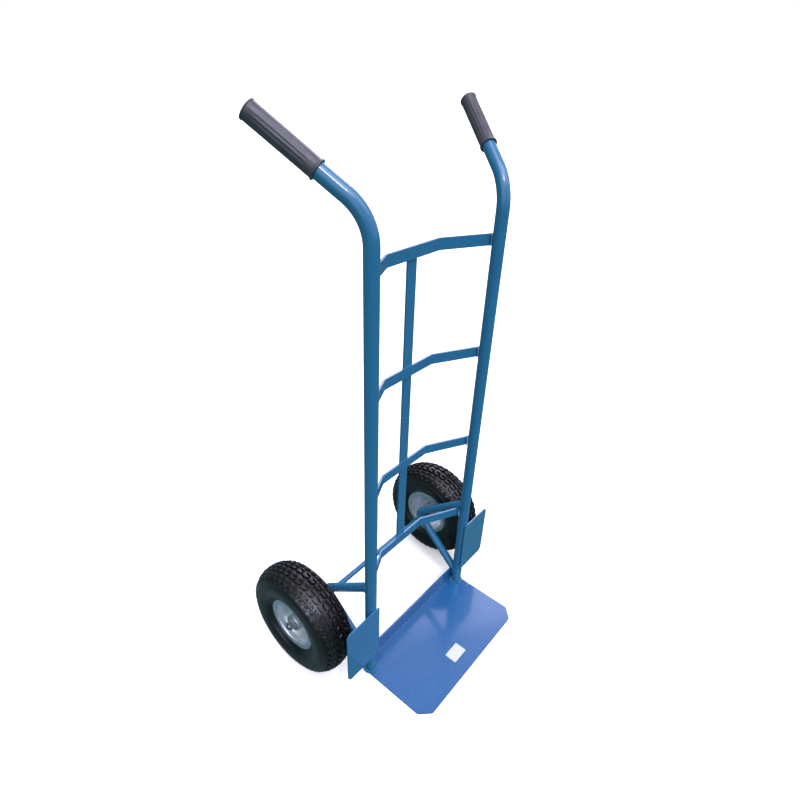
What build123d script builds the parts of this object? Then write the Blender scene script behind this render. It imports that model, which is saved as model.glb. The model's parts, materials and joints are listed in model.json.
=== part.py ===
from build123d import *
from math import radians, sin, cos, tan, atan2, degrees, hypot
import os

os.makedirs("parts", exist_ok=True)

# Two-wheeled hand truck. X across, -Y to the front, +Z up, millimetres.
# Origin on the floor, midway between the uprights and in their plane.

# ---- frame tubes ----
tube_r = 12.0            # upright tube, outside
tube_wall = 1.6
upright_x = 165.5        # tube axis from the middle
bend_z = 985.0           # where the straight and the handle axis meet
bend_r = 80.0            # bend radius on the tube axis
handle_len = 192.0       # from that point to the tube end
handle_splay = 27.7      # degrees outwards, seen from above
handle_climb = 35.8      # degrees above level

# ---- toe plate ----
plate_lap = 0.5          # plate beyond the outer sides of the tubes
plate_front = 169.0      # front edge ahead of the uprights
plate_t = 4.0
plate_corner = 23.0      # cut corner, with its two ends rounded
plate_round = 9.0
flange_h = 44.5          # rear flange height above the floor
fold_r = 1.5             # inner fold radius

# ---- crossbars and strut ----
bar_z = (245.0, 456.0, 673.0, 893.0)   # mid heights, lowest first
bar_h = 21.0
bar_t = 4.0
bar_kink_x = 68.0        # half width of the level middle run
bar_set = 57.0           # front face of the middle run behind the uprights
bar_root = 0.6           # front face at the tube axis, as a share of the tube radius
bar_end_in = 3.0         # bar end short of the tube axis
bar_fold_r = 8.0
strut_w = 24.0
strut_t = 4.0
strut_inset = 2.0        # strut ends inside the outer edges of the end bars

# ---- wheels ----
tyre_r = 130.0
tyre_w = 86.0
wheel_gap = 14.5         # upright to tyre
guard_clear = 21.0       # wheel guard to tyre
groove_d = 5.0           # tread groove depth
groove_w = 4.5
groove_x = (-18.0, 0.0, 18.0)
notch_count = 34         # shoulder notches round one side
notch_w = 7.0
notch_len = 16.0
casing_side = 5.0
casing_crown = 10.0
bead_w = 5.0
seat_r = 52.0            # rim bead seat, outside
lip_h = 10.0             # rim flange above the seat
rim_half_w = 31.4        # flange outer face from the wheel middle
sheet = 2.0              # rim steel
well_edge = 10.5         # flat disc beyond the bolt circle
seat_w = 12.5            # bead seat, in from the flange face, before the bowl
seal = 0.2               # rubber to rim
tube_skin = 2.0          # inner tube wall
tube_play = 0.6          # inner tube to casing

# ---- hub, bearings, axle ----
axle_r = 6.0
bearing_r = 16.0
bearing_w = 10.0
bearing_play = 0.05      # radial, bearing on axle
hub_wall = 3.0           # around the bearings
bearing_step = 3.5       # shoulder behind each bearing
hub_len = 52.0
bore_fit = 0.02          # bearing in hub, hub in rim
washer_cover = 0.5       # washer beyond the bearing
washer_t = 2.5
end_play = 0.3           # each side of the hub
nut_af = 19.0
nut_t = 10.0
axle_out = 3.0           # axle beyond the nut
stop_land = 5.0          # ring on the axle inboard of the wheel
stop_t = 5.0

# ---- rim bolts and valve ----
rim_bolts = 4
bolt_out = 10.5          # bolt circle beyond the hub
bolt_r = 3.0
bolt_hole_play = 0.25
bolt_af = 10.0
bolt_head_t = 4.0
bolt_nut_t = 5.0
bolt_tail = 2.0
valve_r = 4.0
valve_tip_r = 34.0       # valve inner end from the axle line
valve_x = 17.0
valve_angle = 55.0
valve_cap_len = 8.0
valve_cap_r = 3.2

# ---- axle brackets ----
rod_r = 9.5
rod_bend = 16.0
upper_rise = 143.0       # upper leg axis at the tube axis, above the axle
lower_slope = 43.0       # degrees, lower leg rises to the rear
weld_gap = 7.5           # metal of the weld between axle and lower leg
weld_w = 11.0
weld_len = 17.0

# ---- wheel guards ----
guard_lap = 10.5         # inner edge inboard of the tube axis
guard_w = 93.0
guard_low = 63.5
guard_top = 212.0
guard_t = 3.0
guard_corner = 12.0

# ---- grips and label ----
grip_len = 110.0
grip_wall = 1.85
grip_end = 4.0           # closed end beyond the tube
grip_play = 0.05
collar_step = 1.4
collar_t = 2.5
grip_plain = 13.0        # unfluted length beside each collar
flutes = 16
flute_r = 1.7
label_w = 42.0
label_d = 28.0
label_t = 0.3
label_x = -9.5
label_y = -124.0

sides = ((-1, "right"), (1, "left"))    # hand of the person at the handles

# sizes that follow from their neighbours
plate_w = 2 * (upright_x + tube_r + plate_lap)
wheel_x = upright_x + tube_r + wheel_gap + tyre_w / 2
axle_y = tyre_r + guard_clear - tube_r
guard_in = upright_x - guard_lap
guard_out = guard_in + guard_w
grip_r = tube_r + grip_play + grip_wall
collar_r = grip_r + collar_step
lip_r = seat_r + lip_h
hub_r = bearing_r + hub_wall
hub_bore_r = bearing_r - bearing_step
rim_pcd_r = hub_r + bolt_out
well_r = rim_pcd_r + well_edge
washer_r = bearing_r + washer_cover
stop_r = axle_r + stop_land
upper_root_z = tyre_r + upper_rise
flange_y = tube_r + fold_r
plate_rear = flange_y + plate_t
axle_at = (0, axle_y, tyre_r)
hub_half = hub_len / 2
nut_in = wheel_x + hub_half + end_play + washer_t
stop_out = wheel_x - hub_half - end_play - washer_t
axle_half = nut_in + nut_t + axle_out


def save(builder, name):
    builder.part.label = name
    export_step(builder.part, "parts/" + name + ".step")


# toe plate: a sheet with its rear edge folded up behind the uprights
with BuildPart() as plate:
    with BuildSketch(Plane.YZ.offset(-plate_w / 2)):
        with BuildLine():
            Polyline((-plate_front, 0), (plate_rear, 0), (plate_rear, flange_h), (flange_y, flange_h),
                     (flange_y, plate_t), (-plate_front, plate_t), close=True)
        make_face()
    extrude(amount=plate_w)
    long_edges = plate.edges().filter_by(Axis.X)
    fillet(long_edges.sort_by_distance((0, plate_rear, 0))[:1], fold_r + plate_t)
    fillet(plate.edges().filter_by(Axis.X).sort_by_distance((0, flange_y, plate_t))[:1], fold_r)
    front_edges = plate.edges().filter_by(Axis.Z).group_by(Axis.Y)[0]
    chamfer(front_edges, plate_corner)
    cut_end_y = plate_corner - plate_front + 1
    cut_ends = plate.edges().filter_by(Axis.Z).filter_by(lambda e: e.center().Y < cut_end_y)
    fillet(cut_ends, plate_round)
    top_edges = plate.edges().filter_by(Axis.X).group_by(Axis.Z)[-1]
    fillet(top_edges, plate_t * 0.2)
save(plate, "toe_plate")

# blank label on the plate
with BuildPart() as label:
    with BuildSketch(Plane.XY.offset(plate_t)):
        with Locations((label_x, label_y)):
            RectangleRounded(label_w, label_d, 1.5)
    extrude(amount=label_t)
save(label, "toe_label")

# uprights with bent handles, then the grips
climb = radians(handle_climb)
splay = radians(handle_splay)
for side, hand in sides:
    heading = Vector(side * sin(splay), cos(splay), 0)
    bend_plane = Plane(origin=(side * upright_x, 0, 0), x_dir=heading, z_dir=heading.cross(Vector(0, 0, 1)))
    with BuildPart() as upright:
        with BuildLine(bend_plane) as run:
            FilletPolyline((0, plate_t), (0, bend_z),
                           (handle_len * cos(climb), bend_z + handle_len * sin(climb)), radius=bend_r)
        with BuildSketch(Plane.XY.offset(plate_t)):
            with Locations((side * upright_x, 0)):
                Circle(tube_r)
                Circle(tube_r - tube_wall, mode=Mode.SUBTRACT)
        sweep(path=run.wires()[0])
    save(upright, "upright_" + hand)

    along = Vector(heading.X * cos(climb), heading.Y * cos(climb), sin(climb))
    corner = Vector(side * upright_x, 0, bend_z)
    tip = handle_len + grip_end
    grip_plane = Plane(origin=corner + along * (tip - grip_len), x_dir=heading.cross(along), z_dir=along)
    with BuildPart() as grip:
        with BuildSketch(grip_plane):
            Circle(grip_r)
        extrude(amount=grip_len)
        for start in (0, grip_len - collar_t):
            with BuildSketch(grip_plane.offset(start)):
                Circle(collar_r)
            extrude(amount=collar_t)
        fillet(grip.edges().filter_by(GeomType.CIRCLE).sort_by(lambda e: e.radius)[-4:], collar_t * 0.3)
        with BuildSketch(grip_plane.offset(collar_t + grip_plain)):
            with PolarLocations(grip_r + flute_r * 0.4, flutes):
                Circle(flute_r)
        extrude(amount=grip_len - 2 * (collar_t + grip_plain), mode=Mode.SUBTRACT)
        with BuildSketch(grip_plane):
            Circle(tube_r + grip_play)
        extrude(amount=grip_len - grip_end, mode=Mode.SUBTRACT)
    save(grip, "grip_" + hand)

# crossbars: flat bars standing on edge, bowed to the rear in three straight runs
root_y = bar_root * tube_r
lean = atan2(bar_set - root_y, upright_x - bar_kink_x)
end_x = upright_x - bar_end_in
end_y = root_y + bar_end_in * tan(lean)
rear_kink = bar_kink_x + bar_t * tan(lean / 2)
for number, height in enumerate(reversed(bar_z), start=1):
    with BuildPart() as bar:
        with BuildSketch(Plane.XY.offset(height - bar_h / 2)) as strip:
            with BuildLine():
                Polyline((-end_x, end_y), (-bar_kink_x, bar_set), (bar_kink_x, bar_set), (end_x, end_y),
                         (end_x + bar_t * sin(lean), end_y + bar_t * cos(lean)),
                         (rear_kink, bar_set + bar_t), (-rear_kink, bar_set + bar_t),
                         (-end_x - bar_t * sin(lean), end_y + bar_t * cos(lean)), close=True)
            make_face()
            middles = strip.vertices().filter_by(lambda v: abs(v.X) < end_x - 2 * bar_fold_r)
            fillet(middles.filter_by(lambda v: v.Y < bar_set + bar_t / 2), bar_fold_r)
            fillet(strip.vertices().filter_by(
                lambda v: v.Y > bar_set + bar_t / 2 and abs(v.X) > bar_kink_x), bar_fold_r + bar_t)
        extrude(amount=bar_h)
        with BuildSketch(Plane.XY.offset(height - bar_h)):
            with Locations((-upright_x, 0), (upright_x, 0)):
                Circle(tube_r)
        extrude(amount=2 * bar_h, mode=Mode.SUBTRACT)
    save(bar, "crossbar_%d" % number)

# centre strut behind the crossbars
strut_low = bar_z[0] - bar_h / 2 + strut_inset
strut_top = bar_z[-1] + bar_h / 2 - strut_inset
with BuildPart() as strut:
    with BuildSketch(Plane.XY.offset(strut_low)):
        with Locations((0, bar_set + bar_t + strut_t / 2)):
            Rectangle(strut_w, strut_t)
    extrude(amount=strut_top - strut_low)
    fillet(strut.edges().filter_by(Axis.Z), strut_t * 0.15)
save(strut, "centre_strut")

# axle brackets: one rod a side, bent into a V that points to the rear above the axle
slope = radians(lower_slope)
stand_off = rod_r + weld_gap + axle_r
foot_z = tyre_r + stand_off / cos(slope) - axle_y * tan(slope)
# the upper leg comes down to the lower leg's axis just behind the axle line
vertex_y = axle_y - 1.0
vertex_z = foot_z + vertex_y * tan(slope)
for side, hand in sides:
    with BuildPart() as bracket:
        with BuildLine(Plane(origin=(side * upright_x, 0, 0), x_dir=(0, 1, 0), z_dir=(1, 0, 0))) as vee:
            FilletPolyline((0, upper_root_z), (vertex_y, vertex_z), (0, foot_z), radius=rod_bend)
        with BuildSketch(Plane(origin=vee.wires()[0] @ 0, z_dir=vee.wires()[0] % 0)):
            Circle(rod_r)
        sweep(path=vee.wires()[0])
        weld_mid = Location((side * upright_x, axle_y, tyre_r), (lower_slope, 0, 0))
        with Locations(weld_mid):
            Box(weld_len, weld_w, stand_off, align=(Align.CENTER, Align.CENTER, Align.MIN))
        with BuildSketch(Plane.YZ.offset(side * upright_x - weld_len)):
            with Locations((axle_y, tyre_r)):
                Circle(axle_r)
        extrude(amount=2 * weld_len, mode=Mode.SUBTRACT)
        with BuildSketch(Plane.XY):
            with Locations((side * upright_x, 0)):
                Circle(tube_r)
        extrude(amount=bend_z - bend_r, mode=Mode.SUBTRACT)
        with BuildSketch(Plane.XY):
            with Locations((side * upright_x, 0)):
                Rectangle(plate_w, 2 * plate_rear)
        extrude(amount=flange_h, mode=Mode.SUBTRACT)
        add(bar.part, mode=Mode.SUBTRACT)    # coped over the end of the lowest crossbar
    save(bracket, "axle_bracket_" + hand)

# axle with a stop ring inboard of each wheel
with BuildPart() as axle:
    with BuildSketch(Plane.YZ.offset(-axle_half)):
        with Locations((axle_y, tyre_r)):
            Circle(axle_r)
    extrude(amount=2 * axle_half)
    chamfer(axle.faces().filter_by(Axis.X).edges(), 1.0)
    for near in (-stop_out, stop_out - stop_t):
        with BuildSketch(Plane.YZ.offset(near)):
            with Locations((axle_y, tyre_r)):
                Circle(stop_r)
        extrude(amount=stop_t)
save(axle, "axle")

# axle washers, one each side of each hub
with BuildPart() as washers:
    for side, hand in sides:
        for near in (stop_out, nut_in - washer_t):
            with BuildSketch(Plane.YZ.offset(side * (near + washer_t / 2) - washer_t / 2)):
                with Locations((axle_y, tyre_r)):
                    Circle(washer_r)
                    Circle(axle_r + bearing_play, mode=Mode.SUBTRACT)
            extrude(amount=washer_t)
save(washers, "axle_washers")

# axle end nuts
with BuildPart() as nuts:
    for side, hand in sides:
        with BuildSketch(Plane.YZ.offset(side * (nut_in + nut_t / 2) - nut_t / 2)):
            with Locations((axle_y, tyre_r)):
                RegularPolygon(nut_af / 2, 6, major_radius=False)
                Circle(axle_r + bearing_play, mode=Mode.SUBTRACT)
        extrude(amount=nut_t)
save(nuts, "axle_nuts")

# wheel guards: flat plates on the front of the uprights
for side, hand in sides:
    with BuildPart() as guard:
        with BuildSketch(Plane.XZ.offset(tube_r)) as outline:
            with Locations((side * (guard_in + guard_out) / 2, (guard_low + guard_top) / 2)):
                Rectangle(guard_out - guard_in, guard_top - guard_low)
            outer = outline.vertices().filter_by(lambda v: abs(v.X) > (guard_in + guard_out) / 2)
            fillet(outer, guard_corner)
        extrude(amount=guard_t)
    save(guard, "wheel_guard_" + hand)

# wheel pieces; every profile is drawn as (distance from the wheel's middle plane, radius)
crown = tyre_r - casing_crown
half_w = tyre_w / 2
bead_x = rim_half_w - sheet - seal
bead_in_r = seat_r + seal
skirt_r = lip_r + 1.2
room_w = half_w - casing_side
# shares of the half width, and of the height from the bead to the crown
outer_run = [(0.45, 0.957), (0.78, 0.828), (0.95, 0.655), (1.0, 0.455), (0.93, 0.222), (0.80, 0.066)]
inner_run = [(0.45, 0.945), (0.76, 0.83), (0.94, 0.66), (0.98, 0.48), (0.80, 0.28)]
tyre_out = [(half_w * u, skirt_r + (tyre_r - skirt_r) * v) for u, v in outer_run]
tyre_in = [(room_w * u, bead_in_r + (crown - bead_in_r) * v) for u, v in inner_run]

for side, hand in sides:
    middle = (side * wheel_x, axle_y, tyre_r)
    spin = Axis(middle, (1, 0, 0))
    face = Plane(origin=middle, x_dir=(1, 0, 0), z_dir=(0, -1, 0))
    outward = side

    with BuildPart() as tyre:
        with BuildSketch(face):
            with BuildLine():
                left_out = [(-x, r) for x, r in reversed(tyre_out)]
                left_in = [(-x, r) for x, r in reversed(tyre_in)]
                Spline([(-bead_x - 1.0, skirt_r)] + left_out + [(0, tyre_r)] + tyre_out
                       + [(bead_x + 1.0, skirt_r)])
                Polyline((bead_x + 1.0, skirt_r), (bead_x, lip_r), (bead_x, bead_in_r),
                         (bead_x - bead_w, bead_in_r))
                Spline([(bead_x - bead_w, bead_in_r)] + list(reversed(tyre_in)) + [(0, crown)]
                       + list(reversed(left_in)) + [(-bead_x + bead_w, bead_in_r)])
                Polyline((-bead_x + bead_w, bead_in_r), (-bead_x, bead_in_r), (-bead_x, lip_r),
                         (-bead_x - 1.0, skirt_r))
            make_face()
        revolve(axis=spin)
        with BuildSketch(face):
            with Locations(*[(x, tyre_r) for x in groove_x]):
                Rectangle(groove_w, 2 * groove_d)
        revolve(axis=spin, mode=Mode.SUBTRACT)
        for edge in (-1, 1):
            ring = Plane(origin=(side * wheel_x + edge * (half_w * 0.84), axle_y, tyre_r), z_dir=(1, 0, 0))
            with Locations(ring):
                with PolarLocations(tyre_r - groove_d, notch_count, start_angle=edge * 90 / notch_count):
                    Box(groove_d * 2.4, notch_w, notch_len, mode=Mode.SUBTRACT)
    save(tyre, "tyre_" + hand)

    tube_low = seat_r + tube_play
    tube_high = crown - tube_play
    tube_mid = (tube_low + tube_high) / 2
    tube_b = (tube_high - tube_low) / 2
    tube_a = (half_w - casing_side) * 0.86
    stem_root = tube_mid - tube_b * (1 - ((valve_x - valve_r) / tube_a) ** 2) ** 0.5
    with BuildPart() as inner:
        with BuildSketch(face):
            with Locations((0, tube_mid)):
                Ellipse(tube_a, tube_b)
                Ellipse(tube_a - tube_skin, tube_b - tube_skin, mode=Mode.SUBTRACT)
        revolve(axis=spin)
    save(inner, "inner_tube_" + hand)

    # a pressed half: disc, bowl, bead seat and flange; the outer half carries the valve hole
    bore = hub_r + bore_fit
    bowl_r = well_r - sheet * 0.4
    seat_end = rim_half_w - seat_w
    for turn, place in ((outward, "outer"), (-outward, "inner")):
        with BuildPart() as half:
            with BuildSketch(face) as wall:
                with BuildLine():
                    points = [(0, bore), (sheet, bore), (sheet, bowl_r), (seat_end, seat_r - sheet),
                              (rim_half_w, seat_r - sheet), (rim_half_w, lip_r),
                              (rim_half_w - sheet, lip_r), (rim_half_w - sheet, seat_r),
                              (seat_end - sheet * 0.3, seat_r), (0, well_r)]
                    Polyline(*[(turn * x, r) for x, r in points], close=True)
                make_face()
            revolve(axis=spin)
            bend = half.edges().filter_by(GeomType.CIRCLE)
            fillet(bend.filter_by(lambda e: abs(e.radius - (seat_r - sheet)) < 0.01
                                  and abs(e.arc_center.X - middle[0]) > rim_half_w - 0.01), sheet * 1.5)
            fillet(bend.filter_by(lambda e: abs(e.radius - lip_r) < 0.01), sheet * 0.35)
            bend = half.edges().filter_by(GeomType.CIRCLE)
            fillet(bend.filter_by(lambda e: abs(e.radius - bowl_r) < 0.01
                                  or abs(e.radius - seat_r + sheet) < 0.01
                                  and abs(e.arc_center.X - middle[0]) < seat_end + 0.01), sheet * 1.5)
            with BuildSketch(Plane.YZ.offset(middle[0] - sheet * 2)):
                with Locations((axle_y, tyre_r)):
                    with PolarLocations(rim_pcd_r, rim_bolts, start_angle=45):
                        Circle(bolt_r + bolt_hole_play)
            extrude(amount=sheet * 4, mode=Mode.SUBTRACT)
            if place == "outer":
                spoke = radians(valve_angle)
                ray = Plane(origin=(middle[0] + outward * valve_x, axle_y, tyre_r),
                            z_dir=(0, cos(spoke), -sin(spoke)))
                with BuildSketch(ray.offset(bowl_r)):
                    Circle(valve_r + seal)
                extrude(amount=seat_r + sheet - bowl_r, mode=Mode.SUBTRACT)
        save(half, "rim_" + place + "_" + hand)

    # rubber valve stem from the inner tube through the rim, with its cap
    with BuildPart() as valve:
        with BuildSketch(ray.offset(valve_tip_r)):
            Circle(valve_r)
        extrude(amount=stem_root - valve_tip_r)
        fillet(valve.edges().filter_by(GeomType.CIRCLE).sort_by_distance(ray.origin)[:1], 1.0)
    save(valve, "valve_stem_" + hand)
    with BuildPart() as cap:
        with BuildSketch(ray.offset(valve_tip_r - valve_cap_len)):
            Circle(valve_cap_r)
        extrude(amount=valve_cap_len)
        chamfer(cap.edges().filter_by(GeomType.CIRCLE).sort_by_distance(ray.origin)[:1], 0.6)
    save(cap, "valve_cap_" + hand)

    with BuildPart() as hub:
        with BuildSketch(face):
            with BuildLine():
                Polyline((-hub_half, hub_r), (hub_half, hub_r), (hub_half, bearing_r + bore_fit),
                         (hub_half - bearing_w, bearing_r + bore_fit), (hub_half - bearing_w, hub_bore_r),
                         (-hub_half + bearing_w, hub_bore_r), (-hub_half + bearing_w, bearing_r + bore_fit),
                         (-hub_half, bearing_r + bore_fit), close=True)
            make_face()
        revolve(axis=spin)
        chamfer(hub.faces().filter_by(Axis.X).edges().filter_by(lambda e: abs(e.radius - hub_r) < 0.01), 0.8)
    save(hub, "hub_" + hand)

    with BuildPart() as bearings:
        for near in (-hub_half, hub_half - bearing_w):
            with BuildSketch(Plane.YZ.offset(middle[0] + near)):
                with Locations((axle_y, tyre_r)):
                    Circle(bearing_r)
                    Circle(axle_r + bearing_play, mode=Mode.SUBTRACT)
            extrude(amount=bearing_w)
    save(bearings, "bearings_" + hand)

    # hex bolts from the outside, nuts on the inside
    head_at = middle[0] + outward * sheet
    tail = 2 * sheet + bolt_nut_t + bolt_tail
    bolt_plane = Plane(origin=(head_at, axle_y, tyre_r), x_dir=(0, 1, 0), z_dir=(outward, 0, 0))
    with BuildPart() as bolts:
        with BuildSketch(bolt_plane):
            with PolarLocations(rim_pcd_r, rim_bolts, start_angle=45):
                RegularPolygon(bolt_af / 2, 6, major_radius=False)
        extrude(amount=bolt_head_t)
        with BuildSketch(bolt_plane):
            with PolarLocations(rim_pcd_r, rim_bolts, start_angle=45):
                Circle(bolt_r)
        extrude(amount=-tail)
    save(bolts, "rim_bolts_" + hand)
    with BuildPart() as rim_nuts:
        with BuildSketch(bolt_plane.offset(-2 * sheet - bolt_nut_t)):
            with PolarLocations(rim_pcd_r, rim_bolts, start_angle=45):
                RegularPolygon(bolt_af / 2, 6, major_radius=False)
                Circle(bolt_r + bore_fit, mode=Mode.SUBTRACT)
        extrude(amount=bolt_nut_t)
    save(rim_nuts, "rim_nuts_" + hand)
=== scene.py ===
import json
from math import atan2, cos, hypot, pi, radians, sin, sqrt

import bmesh
import bpy
from mathutils import Matrix, Vector


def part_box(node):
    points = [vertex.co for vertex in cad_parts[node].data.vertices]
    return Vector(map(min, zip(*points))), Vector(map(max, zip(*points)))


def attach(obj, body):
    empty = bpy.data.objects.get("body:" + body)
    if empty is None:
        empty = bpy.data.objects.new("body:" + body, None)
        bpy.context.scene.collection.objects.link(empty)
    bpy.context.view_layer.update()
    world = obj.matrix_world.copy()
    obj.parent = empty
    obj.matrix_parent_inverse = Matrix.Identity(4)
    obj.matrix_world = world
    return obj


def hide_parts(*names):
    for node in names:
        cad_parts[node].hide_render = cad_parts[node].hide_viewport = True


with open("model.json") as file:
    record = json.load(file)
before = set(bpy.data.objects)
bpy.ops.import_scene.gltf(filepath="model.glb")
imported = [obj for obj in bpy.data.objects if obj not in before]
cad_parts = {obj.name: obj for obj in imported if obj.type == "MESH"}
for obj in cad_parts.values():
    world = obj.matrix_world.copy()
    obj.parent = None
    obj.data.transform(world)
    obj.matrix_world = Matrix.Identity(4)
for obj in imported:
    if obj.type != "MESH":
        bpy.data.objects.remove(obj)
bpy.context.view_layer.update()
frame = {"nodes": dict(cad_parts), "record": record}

nodes = frame["nodes"]
mm = 0.001
hands = {"right": -1, "left": 1}      # side of the person at the handles, and its sign on X
print("frame loaded:", len(nodes), "nodes")


# small helpers

def linear(hexColour):
    parts = [int(hexColour[i:i + 2], 16) / 255 for i in (1, 3, 5)]
    return [c / 12.92 if c <= 0.04045 else ((c + 0.055) / 1.055) ** 2.4 for c in parts] + [1.0]


def perMm(size):
    # texture scale on metre coordinates that gives features of this many millimetres
    return 1000 / size


def addNode(tree, kind, links=None, **settings):
    # one node: its own settings, then its inputs, each a value or another node's output
    node = tree.nodes.new("ShaderNode" + kind)
    for name, value in settings.items():
        setattr(node, name, value)
    for name, value in (links or {}).items():
        live = [s for s in node.inputs if s.enabled and s.name == name]
        socket = live[0] if live else node.inputs[name]
        if isinstance(value, bpy.types.NodeSocket):
            tree.links.new(value, socket)
        else:
            socket.default_value = value
    return node


def addRamp(node, stops):
    # sets a colour ramp's stops from {place: colour or grey}
    marks = node.color_ramp.elements
    while len(marks) < len(stops):
        marks.new(0.5)
    for mark, (place, colour) in zip(marks, sorted(stops.items())):
        mark.position = place
        mark.color = linear(colour) if isinstance(colour, str) else (colour, colour, colour, 1)


def startMaterial(name):
    material = bpy.data.materials.new(name)
    material.use_nodes = True
    tree = material.node_tree
    tree.nodes.clear()
    place = addNode(tree, "TexCoord").outputs["Object"]
    return material, tree, place


def endMaterial(tree, sockets):
    shader = addNode(tree, "BsdfPrincipled", sockets)
    addNode(tree, "OutputMaterial", {"Surface": shader.outputs[0]})


def finishPiece(bm, name, material, body, replaced=(), sharp=35):
    # welds doubles, turns faces outwards, keeps hard edges crisp and hands the piece to the frame
    bmesh.ops.remove_doubles(bm, verts=bm.verts, dist=0.01 * mm)
    bmesh.ops.recalc_face_normals(bm, faces=bm.faces)
    for face in bm.faces:
        face.smooth = True
    for edge in bm.edges:
        edge.smooth = edge.calc_face_angle(0) < radians(sharp)
    mesh = bpy.data.meshes.new(name)
    bm.to_mesh(mesh)
    bm.free()
    mesh.materials.append(material)
    piece = bpy.data.objects.new(name, mesh)
    bpy.context.scene.collection.objects.link(piece)
    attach(piece, body)
    if replaced:
        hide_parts(*replaced)
    return piece


# camera

camera = {
    "place": (-0.69667, -0.4906, 1.15293),
    "heading": -50.57,      # degrees, 0 looks along +Y
    "down": 32.91,
    "roll": 1.93,
    "lens": 24.51,
    "shift": (0.0030, 0.01724),
}


def makeCamera():
    heading, down, roll = (radians(camera[k]) for k in ("heading", "down", "roll"))
    right = Vector((cos(heading), sin(heading), 0))
    back = Vector((sin(heading) * cos(down), -cos(heading) * cos(down), sin(down)))
    up = back.cross(right)
    across = cos(roll) * right + sin(roll) * up
    above = cos(roll) * up - sin(roll) * right
    data = bpy.data.cameras.new("camera")
    data.lens = camera["lens"]
    data.sensor_width = 36
    data.shift_x, data.shift_y = camera["shift"]
    data.clip_start = 0.01
    obj = bpy.data.objects.new("camera", data)
    turn = Matrix((across, above, back)).transposed().to_4x4()
    obj.matrix_world = Matrix.Translation(camera["place"]) @ turn
    bpy.context.scene.collection.objects.link(obj)
    bpy.context.scene.camera = obj


makeCamera()
print("camera placed")


# studio

studio = {
    "floorSize": 60.0,
    "floorDrop": 0.0003,
    "floorSeen": "#f6f6f4",       # the pale floor itself
    "floorLift": 0.35,            # keeps the floor pale under the truck
    "floorBounce": "#4f6d68",     # what it throws back at the truck, as from a green workshop floor
    "skyBright": "#e9e6ff",       # seen in reflections from above and the right
    "skyDark": "#456660",         # low on the left
    "skyStrength": 0.85,
    # name: strength, spread in degrees, where it comes from, colour
    "suns": {
        "overhead": (1.9, 50, (-0.15, -0.3, 1.0), "#f4f6ff"),
        "frontRight": (0.75, 40, (0.4, -0.6, 0.75), "#efeaff"),
        "leftFill": (0.85, 60, (-0.85, -0.35, 0.45), "#e8f4f6"),
        "rearRight": (1.1, 36, (0.69, 0.45, 0.60), "#f0e4ff"),
        "strip": (1.0, 9, (-0.26, -0.56, 0.79), "#d9d4ff"),
    },
}


def makeFloor():
    floor = bmesh.new()
    bmesh.ops.create_grid(floor, x_segments=1, y_segments=1, size=studio["floorSize"] / 2,
                          matrix=Matrix.Translation((0, 0, -studio["floorDrop"])))
    mesh = bpy.data.meshes.new("floor")
    floor.to_mesh(mesh)
    floor.free()
    obj = bpy.data.objects.new("floor", mesh)
    bpy.context.scene.collection.objects.link(obj)
    material, tree, place = startMaterial("palePaintedFloor")
    speckle = addNode(tree, "TexNoise", {"Vector": place, "Scale": perMm(300), "Detail": 3})
    rough = addNode(tree, "MapRange", {"Value": speckle.outputs["Fac"], "To Min": 0.75, "To Max": 0.9})
    pale = addNode(tree, "BsdfPrincipled", {"Base Color": linear(studio["floorSeen"]),
                                            "Roughness": rough.outputs[0],
                                            "Emission Color": linear(studio["floorSeen"]),
                                            "Emission Strength": studio["floorLift"]})
    bounce = addNode(tree, "BsdfDiffuse", {"Color": linear(studio["floorBounce"])})
    seen = addNode(tree, "LightPath").outputs["Is Camera Ray"]
    both = addNode(tree, "MixShader", {0: seen, 1: bounce.outputs[0], 2: pale.outputs[0]})
    addNode(tree, "OutputMaterial", {"Surface": both.outputs[0]})
    mesh.materials.append(material)


def makeSky():
    # white behind everything; what lights the truck is pale above and to the right, dark low on the left
    world = bpy.data.worlds.new("studio")
    bpy.context.scene.world = world
    world.use_nodes = True
    tree = world.node_tree
    tree.nodes.clear()
    direction = addNode(tree, "TexCoord").outputs["Generated"]
    lean = addNode(tree, "VectorMath", {0: direction, 1: (0.55, -0.25, 0.8)}, operation="DOT_PRODUCT")
    share = addNode(tree, "MapRange", {"Value": lean.outputs["Value"], "From Min": -0.35, "From Max": 0.45})
    colour = addNode(tree, "Mix", {"Factor": share.outputs[0], "A": linear(studio["skyDark"]),
                                   "B": linear(studio["skyBright"])}, data_type="RGBA")
    glow = addNode(tree, "Background", {"Color": colour.outputs[2],
                                        "Strength": studio["skyStrength"]})
    white = addNode(tree, "Background", {"Color": linear("#ffffff"), "Strength": 1.0})
    seen = addNode(tree, "LightPath").outputs["Is Camera Ray"]
    both = addNode(tree, "MixShader", {0: seen, 1: glow.outputs[0], 2: white.outputs[0]})
    addNode(tree, "OutputWorld", {"Surface": both.outputs[0]})


def makeSuns():
    for name, (strength, spread, source, colour) in studio["suns"].items():
        data = bpy.data.lights.new(name, "SUN")
        data.energy = strength
        data.angle = radians(spread)
        data.color = linear(colour)[:3]
        lamp = bpy.data.objects.new(name, data)
        lamp.matrix_world = Vector(source).to_track_quat("Z", "Y").to_matrix().to_4x4()
        bpy.context.scene.collection.objects.link(lamp)


makeFloor()
makeSky()
makeSuns()
bpy.context.scene.view_settings.view_transform = "Standard"
print("studio lit")


# materials

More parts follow.
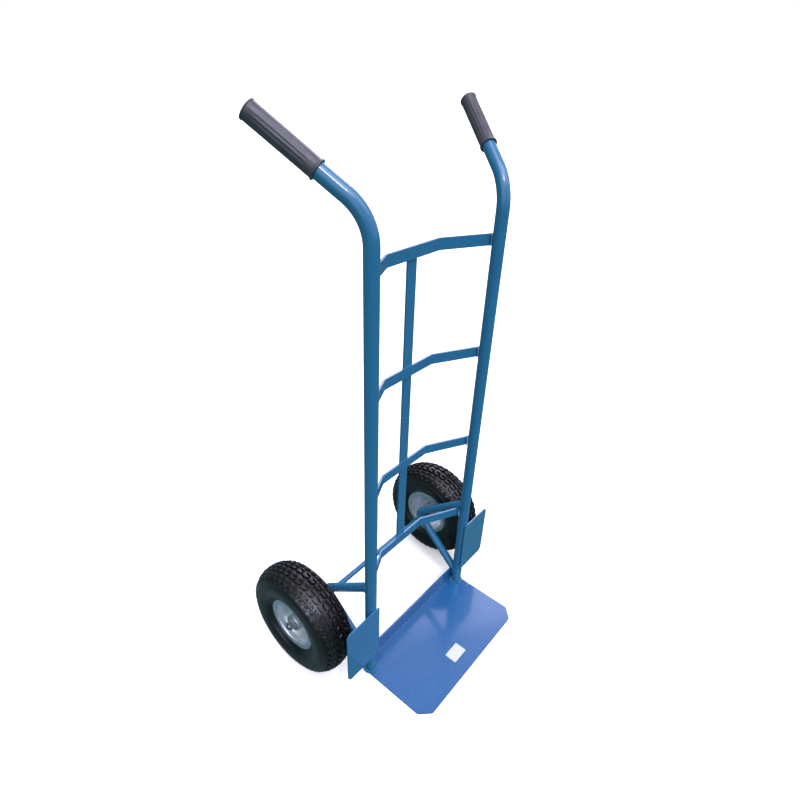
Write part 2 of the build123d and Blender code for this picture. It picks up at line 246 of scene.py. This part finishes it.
def edgeMask(tree, radius):
    # 1 on outside corners within this radius and 0 on flats
    flat = addNode(tree, "NewGeometry").outputs["Normal"]
    soft = addNode(tree, "Bevel", {"Radius": radius}, samples=8).outputs[0]
    match = addNode(tree, "VectorMath", {0: flat, 1: soft}, operation="DOT_PRODUCT")
    return addNode(tree, "MapRange", {"Value": match.outputs["Value"], "From Min": 0.9, "From Max": 0.7,
                                      "To Max": 1.0}).outputs[0]


def enamel(name, colour, shade, scuffs, bareFrom=None):
    # sprayed gloss enamel over steel: even mid blue with a hard gloss and slight orange peel, paler on
    #     # corners for thinner paint and a painted edge highlight, a little duller where things have rubbed it
    material, tree, place = startMaterial(name)
    drift = addNode(tree, "TexNoise", {"Vector": place, "Scale": perMm(90), "Detail": 3})
    tone = addNode(tree, "ValToRGB", {"Fac": drift.outputs["Fac"]})
    addRamp(tone, {0.3: shade, 0.7: colour})
    # painted edge highlight: outside corners mixed towards a paler blue, partly for thinner paint there
    thinPaintAndEdgeHighlight = addNode(tree, "Math", {0: edgeMask(tree, 1.2 * mm), 1: 0.3}, operation="MULTIPLY")
    coat = addNode(tree, "Mix", {"Factor": thinPaintAndEdgeHighlight.outputs[0], "A": tone.outputs["Color"],
                                 "B": linear("#4f8cb9")}, data_type="RGBA")
    rub = addNode(tree, "TexNoise", {"Vector": place, "Scale": perMm(22), "Detail": 6, "Roughness": 0.7})
    rough = addNode(tree, "MapRange", {"Value": rub.outputs["Fac"], "From Min": 0.35, "From Max": 0.75,
                                       "To Min": 0.24, "To Max": 0.24 + scuffs})
    # orange peel is about 1.5 mm on the real coat, drawn at 4 mm so that it shows
    peel = addNode(tree, "TexNoise", {"Vector": place, "Scale": perMm(4), "Detail": 2})
    skin = addNode(tree, "Bump", {"Height": peel.outputs["Fac"], "Strength": 0.08, "Distance": 0.1 * mm})
    sockets = {"Base Color": coat.outputs[2], "Roughness": rough.outputs[0], "IOR": 1.5,
               "Normal": skin.outputs[0], "Coat Weight": 0.5, "Coat Roughness": 0.08}
    if bareFrom:
        # masked off before spraying: plated steel beyond this distance from the middle
        apart = addNode(tree, "SeparateXYZ", {0: place})
        reach = addNode(tree, "Math", {0: apart.outputs["X"]}, operation="ABSOLUTE")
        bare = addNode(tree, "Math", {0: reach.outputs[0], 1: bareFrom}, operation="GREATER_THAN")
        metal = addNode(tree, "Mix", {"Factor": bare.outputs[0], "A": coat.outputs[2],
                                      "B": linear("#8d9095")}, data_type="RGBA")
        sockets.update({"Base Color": metal.outputs[2], "Metallic": bare.outputs[0]})
        sockets.pop("Coat Weight")
    endMaterial(tree, sockets)
    return material


def zincPressing(name):
    # zinc-plated steel pressing: soft grey mirror with faint cloudy bands of greenish and violet tint, partly
    # passivate from the bath and partly a painted reflection of a green floor and a lavender ceiling
    material, tree, place = startMaterial(name)
    cloud = addNode(tree, "TexNoise", {"Vector": place, "Scale": perMm(26), "Detail": 5, "Distortion": 0.6})
    # painted reflection in the tint: the greenish and violet stops stand for a green floor and a lavender
    # ceiling, beside the real passivate tint
    tint = addNode(tree, "ValToRGB", {"Fac": cloud.outputs["Fac"]})
    addRamp(tint, {0.3: "#c8d6d3", 0.5: "#e4e8ee", 0.7: "#e8e3f2"})
    spangle = addNode(tree, "TexVoronoi", {"Vector": place, "Scale": perMm(5)})
    rough = addNode(tree, "MapRange", {"Value": spangle.outputs["Distance"], "To Min": 0.34, "To Max": 0.52})
    dimple = addNode(tree, "Bump", {"Height": cloud.outputs["Fac"], "Strength": 0.3, "Distance": 0.3 * mm})
    endMaterial(tree, {"Base Color": tint.outputs["Color"], "Metallic": 1.0, "Roughness": rough.outputs[0],
                       "Normal": dimple.outputs[0]})
    return material


def zincFastener(name):
    # bright zinc on turned and headed parts: tighter shine with fine tool marks
    material, tree, place = startMaterial(name)
    marks = addNode(tree, "TexNoise", {"Vector": place, "Scale": perMm(1.5), "Detail": 4})
    tint = addNode(tree, "ValToRGB", {"Fac": marks.outputs["Fac"]})
    addRamp(tint, {0.3: "#b9bcc2", 0.7: "#d6d7da"})
    rough = addNode(tree, "MapRange", {"Value": marks.outputs["Fac"], "To Min": 0.18, "To Max": 0.38})
    score = addNode(tree, "Bump", {"Height": marks.outputs["Fac"], "Strength": 0.3, "Distance": 0.05 * mm})
    endMaterial(tree, {"Base Color": tint.outputs["Color"], "Metallic": 1.0, "Roughness": rough.outputs[0],
                       "Normal": score.outputs[0]})
    return material


def groundSteel(name):
    # hardened bearing steel, ground: darker and finely ringed
    material, tree, place = startMaterial(name)
    grain = addNode(tree, "TexNoise", {"Vector": place, "Scale": perMm(0.8), "Detail": 3})
    tint = addNode(tree, "ValToRGB", {"Fac": grain.outputs["Fac"]})
    addRamp(tint, {0.3: "#8f9094", 0.7: "#a8a9ac"})
    rough = addNode(tree, "MapRange", {"Value": grain.outputs["Fac"], "To Min": 0.2, "To Max": 0.35})
    endMaterial(tree, {"Base Color": tint.outputs["Color"], "Metallic": 1.0, "Roughness": rough.outputs[0]})
    return material


def tyreRubber(name):
    # new moulded tyre rubber: near black with a waxy violet-grey sheen on the high spots
    material, tree, place = startMaterial(name)
    bloom = addNode(tree, "TexNoise", {"Vector": place, "Scale": perMm(30), "Detail": 5})
    tone = addNode(tree, "ValToRGB", {"Fac": bloom.outputs["Fac"]})
    addRamp(tone, {0.3: "#050606", 0.7: "#0a0b0d"})
    pores = addNode(tree, "TexNoise", {"Vector": place, "Scale": perMm(2.5), "Detail": 5, "Roughness": 0.7})
    rough = addNode(tree, "MapRange", {"Value": pores.outputs["Fac"], "From Min": 0.3, "From Max": 0.7,
                                       "To Min": 0.24, "To Max": 0.42})
    skin = addNode(tree, "Bump", {"Height": pores.outputs["Fac"], "Strength": 0.4, "Distance": 0.15 * mm})
    endMaterial(tree, {"Base Color": tone.outputs["Color"], "Roughness": rough.outputs[0], "IOR": 1.5,
                       "Normal": skin.outputs[0], "Sheen Weight": 0.05, "Sheen Roughness": 0.4})
    return material


def mouldedRubber(name, dark, light, low, high, grain):
    # plain moulded rubber or vinyl: dark, satin, with a fine leathery grain from the mould
    material, tree, place = startMaterial(name)
    tone = addNode(tree, "TexNoise", {"Vector": place, "Scale": perMm(18), "Detail": 4})
    shade = addNode(tree, "ValToRGB", {"Fac": tone.outputs["Fac"]})
    addRamp(shade, {0.3: dark, 0.7: light})
    cells = addNode(tree, "TexVoronoi", {"Vector": place, "Scale": perMm(grain)})
    rough = addNode(tree, "MapRange", {"Value": cells.outputs["Distance"], "To Min": low, "To Max": high})
    skin = addNode(tree, "Bump", {"Height": cells.outputs["Distance"], "Strength": 0.3,
                                  "Distance": 0.1 * mm})
    endMaterial(tree, {"Base Color": shade.outputs["Color"], "Roughness": rough.outputs[0], "IOR": 1.5,
                       "Normal": skin.outputs[0]})
    return material


def coatedPaper(name):
    # a blank coated-paper label: bright satin white with faint fibres
    material, tree, place = startMaterial(name)
    fibre = addNode(tree, "TexNoise", {"Vector": place, "Scale": perMm(2), "Detail": 6, "Roughness": 0.8})
    tone = addNode(tree, "ValToRGB", {"Fac": fibre.outputs["Fac"]})
    addRamp(tone, {0.3: "#bcc1ca", 0.7: "#cbcfd8"})
    lift = addNode(tree, "Bump", {"Height": fibre.outputs["Fac"], "Strength": 0.2, "Distance": 0.05 * mm})
    endMaterial(tree, {"Base Color": tone.outputs["Color"], "Roughness": 0.4, "Normal": lift.outputs[0]})
    return material


finishes = {
    "blue_paint": enamel("blueGlossEnamel", "#20698e", "#1e658a", 0.06),
    "blue_paint_plate": enamel("blueGlossEnamelOnSheet", "#205a8b", "#1e5687", 0.07),
    "label_white": coatedPaper("coatedLabelPaper"),
    "grip_rubber": mouldedRubber("satinVinylGrip", "#38383d", "#444349", 0.28, 0.45, 1.2),
    "zinc_hardware": zincFastener("brightZincFastener"),
    "zinc_rim": zincPressing("zincPlatedPressing"),
    "bearing_steel": groundSteel("groundBearingSteel"),
    "tyre_rubber": tyreRubber("newTyreRubber"),
    "inner_rubber": mouldedRubber("butylRubber", "#1c1c1d", "#262627", 0.5, 0.65, 1.0),
    "black_cap": mouldedRubber("blackPlasticCap", "#141415", "#1d1d1f", 0.35, 0.5, 0.8),
}

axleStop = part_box("hub_left")[0].x - 6 * mm
enamelledAxle = enamel("blueEnamelOnAxle", "#20698e", "#1e658a", 0.06, bareFrom=axleStop)
for part in frame["record"]["subparts"]:
    mesh = nodes[part["node"]].data
    mesh.materials.clear()
    mesh.materials.append(enamelledAxle if part["node"] == "axle" else finishes[part["material_slot"]])
print("materials on", len(nodes), "frame nodes")


# tyres

tyre = {
    "blocks": 42,             # round the tyre, in each row
    "rowEdges": (7, 22, 37, 54),      # edges of the tread rows, degrees round the section from the crown
    "depth": (5.4 * mm, 5.2 * mm, 4.6 * mm, 3.4 * mm),    # groove depth, middle row first
    "groove": 1.9 * mm,       # half the width of a groove
    "flank": 0.5 * mm,        # how far a block's walls lean in, and how wide its rounded edge is
    "rounding": 0.7 * mm,
    "flankShare": 0.86,       # share of a block's height that is wall
    "lean": 0.42,             # how far each row's blocks lean, in blocks
    "widest": 0.72,           # radius of the widest place, as a share of the outside radius
    "crownPower": 2.2,        # 2 is an ellipse, more is squarer
    "skirt": 43 * mm,         # reach of the lower sidewall curve
    "ribs": (0.79, 0.555),    # raised moulding lines on the sidewall, shares of the outside radius
    "ribHeight": 0.7 * mm,
    "ribWidth": 1.3 * mm,
    "wall": 5 * mm,
    "crownWall": 9 * mm,
    "sheet": 2.2 * mm,        # rim steel and a seal between it and the bead
    "beadWidth": 5 * mm,
    "lipGap": 1.2 * mm,       # sidewall starts this far outside the rim's lip
    "seatDrop": 9.8 * mm,     # bead seat below the lip
    "shy": 0.1 * mm,          # keeps the block tops inside the moulded size
}


def sideX(r, halfWidth, radius):
    # half width of the tyre's section at a distance r from the axle
    middle = radius * tyre["widest"]
    if r > middle:
        p = tyre["crownPower"]
        return halfWidth * (1 - min(1, (r - middle) / (radius - middle)) ** p) ** (1 / p)
    return halfWidth * sqrt(1 - ((middle - r) / tyre["skirt"]) ** 2)


def treadPoint(degrees, halfWidth, radius, drop):
    # a place on the crown, this far below the outside surface
    p = 2 / tyre["crownPower"]
    middle = radius * tyre["widest"]
    turn = radians(degrees)
    return ((halfWidth - drop) * sin(turn) ** p, middle + (radius - middle - drop) * cos(turn) ** p)


def tyreSection(halfWidth, radius, rimFace, lipRadius):
    # half a section, crown first: (x, r, lean of this ring), outside down to the bead, then up the inside
    points = []
    edges = tyre["rowEdges"]
    for i, (degrees, drop) in enumerate(zip(edges, tyre["depth"])):
        x, r = treadPoint(degrees, halfWidth, radius, drop)
        points.append((x, r, (-1) ** i))
    x, r = treadPoint(edges[-1] + 5, halfWidth, radius, 0)
    points.append((x, r, 0))
    top = r
    skirt = lipRadius + tyre["lipGap"]
    heights = {top + (skirt - top) * k / 12: 0 for k in range(1, 13)}
    for share in tyre["ribs"]:
        for step, lift in ((-1, 0), (-0.5, 1), (0.5, 1), (1, 0)):
            heights[share * radius + step * tyre["ribWidth"]] = lift * tyre["ribHeight"]
    for r in sorted(heights, reverse=True):
        points.append((min(halfWidth, sideX(r, halfWidth, radius) + heights[r]), r, 0))
    bead = rimFace - tyre["sheet"]
    seat = lipRadius - tyre["seatDrop"]
    points += [(bead, lipRadius, 0), (bead, seat, 0), (bead - tyre["beadWidth"], seat, 0)]
    crown = radius - tyre["crownWall"]
    inner = halfWidth - tyre["wall"]
    for k in range(1, 9):
        turn = radians(60 + (90 - 60) * k / 4) if k < 4 else radians(90 * (9 - k) / 5)
        middle = radius * tyre["widest"]
        rise = crown - middle if k >= 4 else -(middle - seat) * 0.9
        points.append((inner * sin(turn) ** 0.9, middle + rise * abs(cos(turn)) ** 0.9, 0))
    return points


def makeTyre(hand):
    low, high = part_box("tyre_" + hand)
    rimLow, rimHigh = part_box("rim_outer_" + hand)
    centre = (low + high) / 2
    halfWidth, radius = (high.x - low.x) / 2, (high.z - low.z) / 2 - tyre["shy"]
    rimFace = max(abs(rimLow.x - centre.x), abs(rimHigh.x - centre.x))
    half = tyreSection(halfWidth, radius, rimFace, (rimHigh.z - rimLow.z) / 2)
    step = 2 * pi / tyre["blocks"]

    bm = bmesh.new()
    loop = []
    for x, r, lean in [(-x, r, -lean) for x, r, lean in reversed(half)] + half:
        turn = lean * tyre["lean"] * step / 2
        loop.append(bm.verts.new(centre + Vector((x, r * sin(turn), r * cos(turn)))))
    ring = [bm.edges.new((a, b)) for a, b in zip(loop, loop[1:] + loop[:1])]
    bmesh.ops.spin(bm, geom=loop + ring, cent=centre, axis=(1, 0, 0), angle=2 * pi,
                   steps=tyre["blocks"], use_merge=True)
    bmesh.ops.recalc_face_normals(bm, faces=bm.faces)

    # each cell between two row edges grows into a block: a foot, a steep wall and a rounded top
    edges = [0] + [treadPoint(d, halfWidth, radius, 0)[0] for d in tyre["rowEdges"]]
    for row, (inner, outer) in enumerate(zip(edges, edges[1:])):
        cells = []
        for face in bm.faces:
            spot = face.calc_center_median() - centre
            reach = hypot(spot.y, spot.z)
            if (inner < abs(spot.x) + 0.01 * mm < outer or row == 0 and abs(spot.x) < 0.1 * mm) \
                    and reach > radius * tyre["widest"] and face.normal.dot(Vector((0, spot.y, spot.z))) > 0:
                cells.append(face)
        rise = sum(tyre["depth"][max(0, row - 1):row + 1]) / (1 if row == 0 else 2)
        wall = rise * tyre["flankShare"]
        for thickness, height in ((tyre["groove"], 0), (tyre["flank"], wall), (tyre["rounding"], rise - wall)):
            bmesh.ops.inset_individual(bm, faces=cells, thickness=thickness, depth=height,
                                       use_even_offset=True)
    roundOff(bm, centre, 2)
    return finishPiece(bm, "blockTreadTyre_" + hand, finishes["tyre_rubber"], "wheel_" + hand,
                       ["tyre_" + hand])


def roundOff(bm, centre, times):
    # halves every edge that runs round the axle and sets its new middle back out on the circle
    for _ in range(times):
        running = []
        for edge in bm.edges:
            a, b = (v.co - centre for v in edge.verts)
            along = b - a
            across = abs(along.x) + abs(hypot(a.y, a.z) - hypot(b.y, b.z))
            if along.length > 2.5 * across and along.length > 1.5 * mm:
                running.append(edge)
        before = set(bm.verts)
        bmesh.ops.subdivide_edges(bm, edges=running, cuts=1, use_grid_fill=True)
        for vert in [v for v in bm.verts if v not in before]:
            ends = [e.other_vert(vert).co - centre for e in vert.link_edges if e.other_vert(vert) in before]
            if len(ends) == 2:
                reach = sum(hypot(end.y, end.z) for end in ends) / 2
                spot = vert.co - centre
                grow = reach / hypot(spot.y, spot.z)
                vert.co = centre + Vector((spot.x, spot.y * grow, spot.z * grow))


for hand in hands:
    made = makeTyre(hand)
    print(made.name, len(made.data.polygons), "faces")


# grips

grip = {
    "corner": (165.5 * mm, 0, 985 * mm),      # where the handle and upright axes meet
    "splay": 27.7,            # degrees outwards and upwards
    "climb": 35.8,
    "tip": 196 * mm,          # from the corner to the closed end
    "length": 110 * mm,
    "bore": 12.05 * mm,
    "body": 13.9 * mm,
    "collar": 15.3 * mm,
    "tipCollar": 14.8 * mm,
    "collarLength": 2.6 * mm,
    "plain": 13 * mm,         # smooth stretch beside each collar
    "flutes": 16,
    "fluteDepth": 0.65 * mm,
    "closedEnd": 4 * mm,
}


def makeGrip(hand, side):
    long, body, collar, lip = grip["length"], grip["body"], grip["collar"], grip["collarLength"]
    tip = grip["tipCollar"]
    ramp = 2 * mm
    # distance along the grip, radius, share of the flute depth
    rings = [
        (long - grip["closedEnd"], 0.3 * mm, 0), (long - grip["closedEnd"], grip["bore"], 0),
        (0, grip["bore"], 0), (0, collar - 0.6 * mm, 0), (0.5 * mm, collar, 0), (lip - 0.5 * mm, collar, 0),
        (lip, collar - 0.5 * mm, 0), (lip + 0.5 * mm, body + 0.3 * mm, 0), (lip + 1.4 * mm, body, 0),
        (lip + grip["plain"], body, 0), (lip + grip["plain"] + ramp, body, 1),
        (long / 2, body, 1),
        (long - lip - grip["plain"] - ramp, body, 1), (long - lip - grip["plain"], body, 0),
        (long - lip - 1.4 * mm, body, 0), (long - lip - 0.5 * mm, body + 0.3 * mm, 0),
        (long - lip, tip - 0.5 * mm, 0), (long - lip + 0.5 * mm, tip, 0),
        (long - 1.3 * mm, tip, 0), (long - 0.8 * mm, tip - 0.5 * mm, 0),
        (long - 0.5 * mm, tip * 0.85, 0), (long - 0.1 * mm, tip * 0.45, 0), (long, 0.3 * mm, 0),
    ]
    bm = bmesh.new()
    start = bmesh.ops.create_circle(bm, segments=grip["flutes"] * 8, radius=1)["verts"]
    rim = list({edge for vert in start for edge in vert.link_edges})
    bmesh.ops.contextual_create(bm, geom=rim)
    layers = [start]
    for _ in rings[1:]:
        grown = bmesh.ops.extrude_edge_only(bm, edges=rim)["geom"]
        layers.append([g for g in grown if isinstance(g, bmesh.types.BMVert)])
        rim = [g for g in grown if isinstance(g, bmesh.types.BMEdge)
               and all(v in layers[-1] for v in g.verts)]
    bmesh.ops.contextual_create(bm, geom=rim)
    for verts, (along, radius, share) in zip(layers, rings):
        for vert in verts:
            turn = atan2(vert.co.y, vert.co.x)
            cut = share * grip["fluteDepth"] * (0.5 + 0.5 * cos(grip["flutes"] * turn)) ** 1.5
            vert.co = Vector((cos(turn), sin(turn), 0)) * (radius - cut) + Vector((0, 0, along))
    splay, climb = radians(grip["splay"]), radians(grip["climb"])
    axis = Vector((side * sin(splay) * cos(climb), cos(splay) * cos(climb), sin(climb)))
    corner = Vector((side * grip["corner"][0], *grip["corner"][1:]))
    turnTo = axis.to_track_quat("Z", "Y").to_matrix().to_4x4()
    bmesh.ops.transform(bm, matrix=Matrix.Translation(corner + axis * (grip["tip"] - long)) @ turnTo,
                        verts=bm.verts)
    return finishPiece(bm, "flutedGrip_" + hand, finishes["grip_rubber"], "frame",
                       ["grip_" + hand], sharp=50)


for hand, side in hands.items():
    made = makeGrip(hand, side)
    print(made.name, len(made.data.polygons), "faces")


# weld beads

weld = {
    "pitch": 1.5 * mm,        # ripple to ripple
    "swell": 0.2,             # how much the bead swells at each ripple
    "sides": 8,
    "foot": 3.7 * mm,         # bead radius round the feet of the uprights
    "seam": 1.9 * mm,         # bead radius on the bars, rods and guards
    "tube": 12 * mm,
    "rod": 9.5 * mm,
    "plateTop": 4 * mm,
    "footLift": 0.4 * mm,     # foot bead's centre above the plate, and outside the tube
    "footOut": 0.9 * mm,
    "guardSeam": 1.3 * mm,    # bead radius, place either side of the tube, gap to the guard, ends left bare
    "guardAcross": 5.2 * mm,
    "guardOut": 0.9 * mm,
    "guardBare": 12 * mm,
    "barSeams": (8.8 * mm, 15.7 * mm),      # rearward places of the two seams at each bar end
    "barInset": 0.86,         # bar ends sit this share of the tube's radius in from its axis
    "barBare": 0.5 * mm,
    "strutSeam": 1.2 * mm,
    "strutBare": 2 * mm,
}


def layBead(bm, path, radius, closed=False):
    # a ring of metal at each step of the path, swollen and pinched in turn, bridged to the next
    rings = []
    for i, spot in enumerate(path):
        ahead = path[(i + 1) % len(path)] if closed or i + 1 < len(path) else spot
        behind = path[i - 1] if closed or i else spot
        size = radius * (1 + weld["swell"] * (1 if i % 2 else -1))
        size *= 1 if closed or 0 < i < len(path) - 1 else 0.5
        turnTo = (ahead - behind).to_track_quat("Z", "Y").to_matrix().to_4x4()
        verts = bmesh.ops.create_circle(bm, segments=weld["sides"], radius=size,
                                        matrix=Matrix.Translation(spot) @ turnTo)["verts"]
        rings.append(list({edge for vert in verts for edge in vert.link_edges}))
    pairs = list(zip(rings, rings[1:])) + ([(rings[-1], rings[0])] if closed else [])
    for first, second in pairs:
        bmesh.ops.bridge_loops(bm, edges=first + second)
    if not closed:
        for ring in (rings[0], rings[-1]):
            bmesh.ops.contextual_create(bm, geom=ring)


def line(start, end):
    start, end = Vector(start), Vector(end)
    count = max(2, round((end - start).length / (weld["pitch"] / 2)))
    return [start.lerp(end, i / count) for i in range(count + 1)]


def arc(centre, radius, count):
    return [Vector((centre[0] + radius * cos(2 * pi * i / count),
                    centre[1] + radius * sin(2 * pi * i / count), centre[2])) for i in range(count)]


def rodOnTube(x, height, rise, count=56):
    # where a rod that leaves the tube rearwards and climbs at this angle meets the tube's skin
    path = []
    for i in range(count):
        turn = 2 * pi * i / count
        across, over = weld["rod"] * cos(turn), weld["rod"] * sin(turn)
        y = sqrt(weld["tube"] ** 2 - across ** 2)
        along = (y + over * sin(rise)) / cos(rise)
        path.append(Vector((x + across, y, height + along * sin(rise) + over * cos(rise))))
    return path


def makeWelds():
    bm = bmesh.new()
    for side in hands.values():
        x = side * grip["corner"][0]
        layBead(bm, arc((x, 0, weld["plateTop"] + weld["footLift"]), weld["tube"] + weld["footOut"], 56),
                weld["foot"], closed=True)
        # upper and lower bracket legs on the back of the tube
        layBead(bm, rodOnTube(x, bracket["upperRoot"], bracket["upperRise"]), weld["seam"], closed=True)
        layBead(bm, rodOnTube(x, bracket["lowerRoot"], bracket["lowerRise"]), weld["seam"], closed=True)
        # guard against the front of the tube, one seam each side
        low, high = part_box("wheel_guard_left" if side > 0 else "wheel_guard_right")
        for edge in (-1, 1):
            seamX, seamY = x + edge * weld["guardAcross"], high.y + weld["guardOut"]
            layBead(bm, line((seamX, seamY, low.z + weld["guardBare"]),
                             (seamX, seamY, high.z - weld["guardBare"])), weld["guardSeam"])
    finishPiece(bm, "frameWelds", finishes["blue_paint"], "frame", sharp=60)

    bm = bmesh.new()
    for number in range(1, 5):
        low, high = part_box("crossbar_%d" % number)
        for side in hands.values():
            x = side * (grip["corner"][0] - weld["tube"] * weld["barInset"])
            for y in weld["barSeams"]:
                layBead(bm, line((x, y, low.z + weld["barBare"]), (x, y, high.z - weld["barBare"])),
                        weld["seam"])
        strutLow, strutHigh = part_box("centre_strut")
        for edge in (strutLow.x, strutHigh.x):
            layBead(bm, line((edge, strutLow.y, max(low.z, strutLow.z) + weld["strutBare"]),
                             (edge, strutLow.y, min(high.z, strutHigh.z) - weld["strutBare"])),
                    weld["strutSeam"])
    finishPiece(bm, "crossbarWelds", finishes["blue_paint"], "frame", sharp=60)


bracket = {
    "upperRoot": 273 * mm,    # leg axes at the upright's axis, and their climb to the rear
    "lowerRoot": 31.83 * mm,
    "upperRise": -radians(39.2),
    "lowerRise": radians(43),
}
makeWelds()
print("welds laid")


# bearings

bearing = {
    "bore": 6.05 * mm,
    "width": 10 * mm,
    "outerRing": 3.2 * mm,
    "innerRing": 2.6 * mm,
    "shieldDrop": 0.7 * mm,
    "shieldSlope": 0.2 * mm,
    "edge": 0.5 * mm,
    "steps": 64,
}


def makeBearings(hand):
    # outer race, recessed shield and inner race in one turned section, twice
    low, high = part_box("bearings_" + hand)
    centre = (low + high) / 2
    radius, bore, width = (high.z - low.z) / 2, bearing["bore"], bearing["width"]
    e, drop = bearing["edge"], bearing["shieldDrop"]
    outer, inner = radius - bearing["outerRing"], bore + bearing["innerRing"]
    slope = bearing["shieldSlope"]
    side = [(bore, e), (bore + e, 0), (inner, 0), (inner + slope, drop), (outer - slope, drop),
            (outer, 0), (radius - e, 0), (radius, e)]
    bm = bmesh.new()
    for start in (low.x, high.x - width):
        points = [(start + x, r) for r, x in side] + [(start + width - x, r) for r, x in reversed(side)]
        verts = [bm.verts.new((x, centre.y, centre.z + r)) for x, r in points]
        ring = [bm.edges.new(pair) for pair in zip(verts, verts[1:] + verts[:1])]
        bmesh.ops.spin(bm, geom=verts + ring, cent=centre, axis=(1, 0, 0), angle=2 * pi,
                       steps=bearing["steps"], use_merge=True)
    return finishPiece(bm, "shieldedBearings_" + hand, finishes["bearing_steel"], "wheel_" + hand,
                       ["bearings_" + hand])


for hand in hands:
    makeBearings(hand)
print("bearings made")
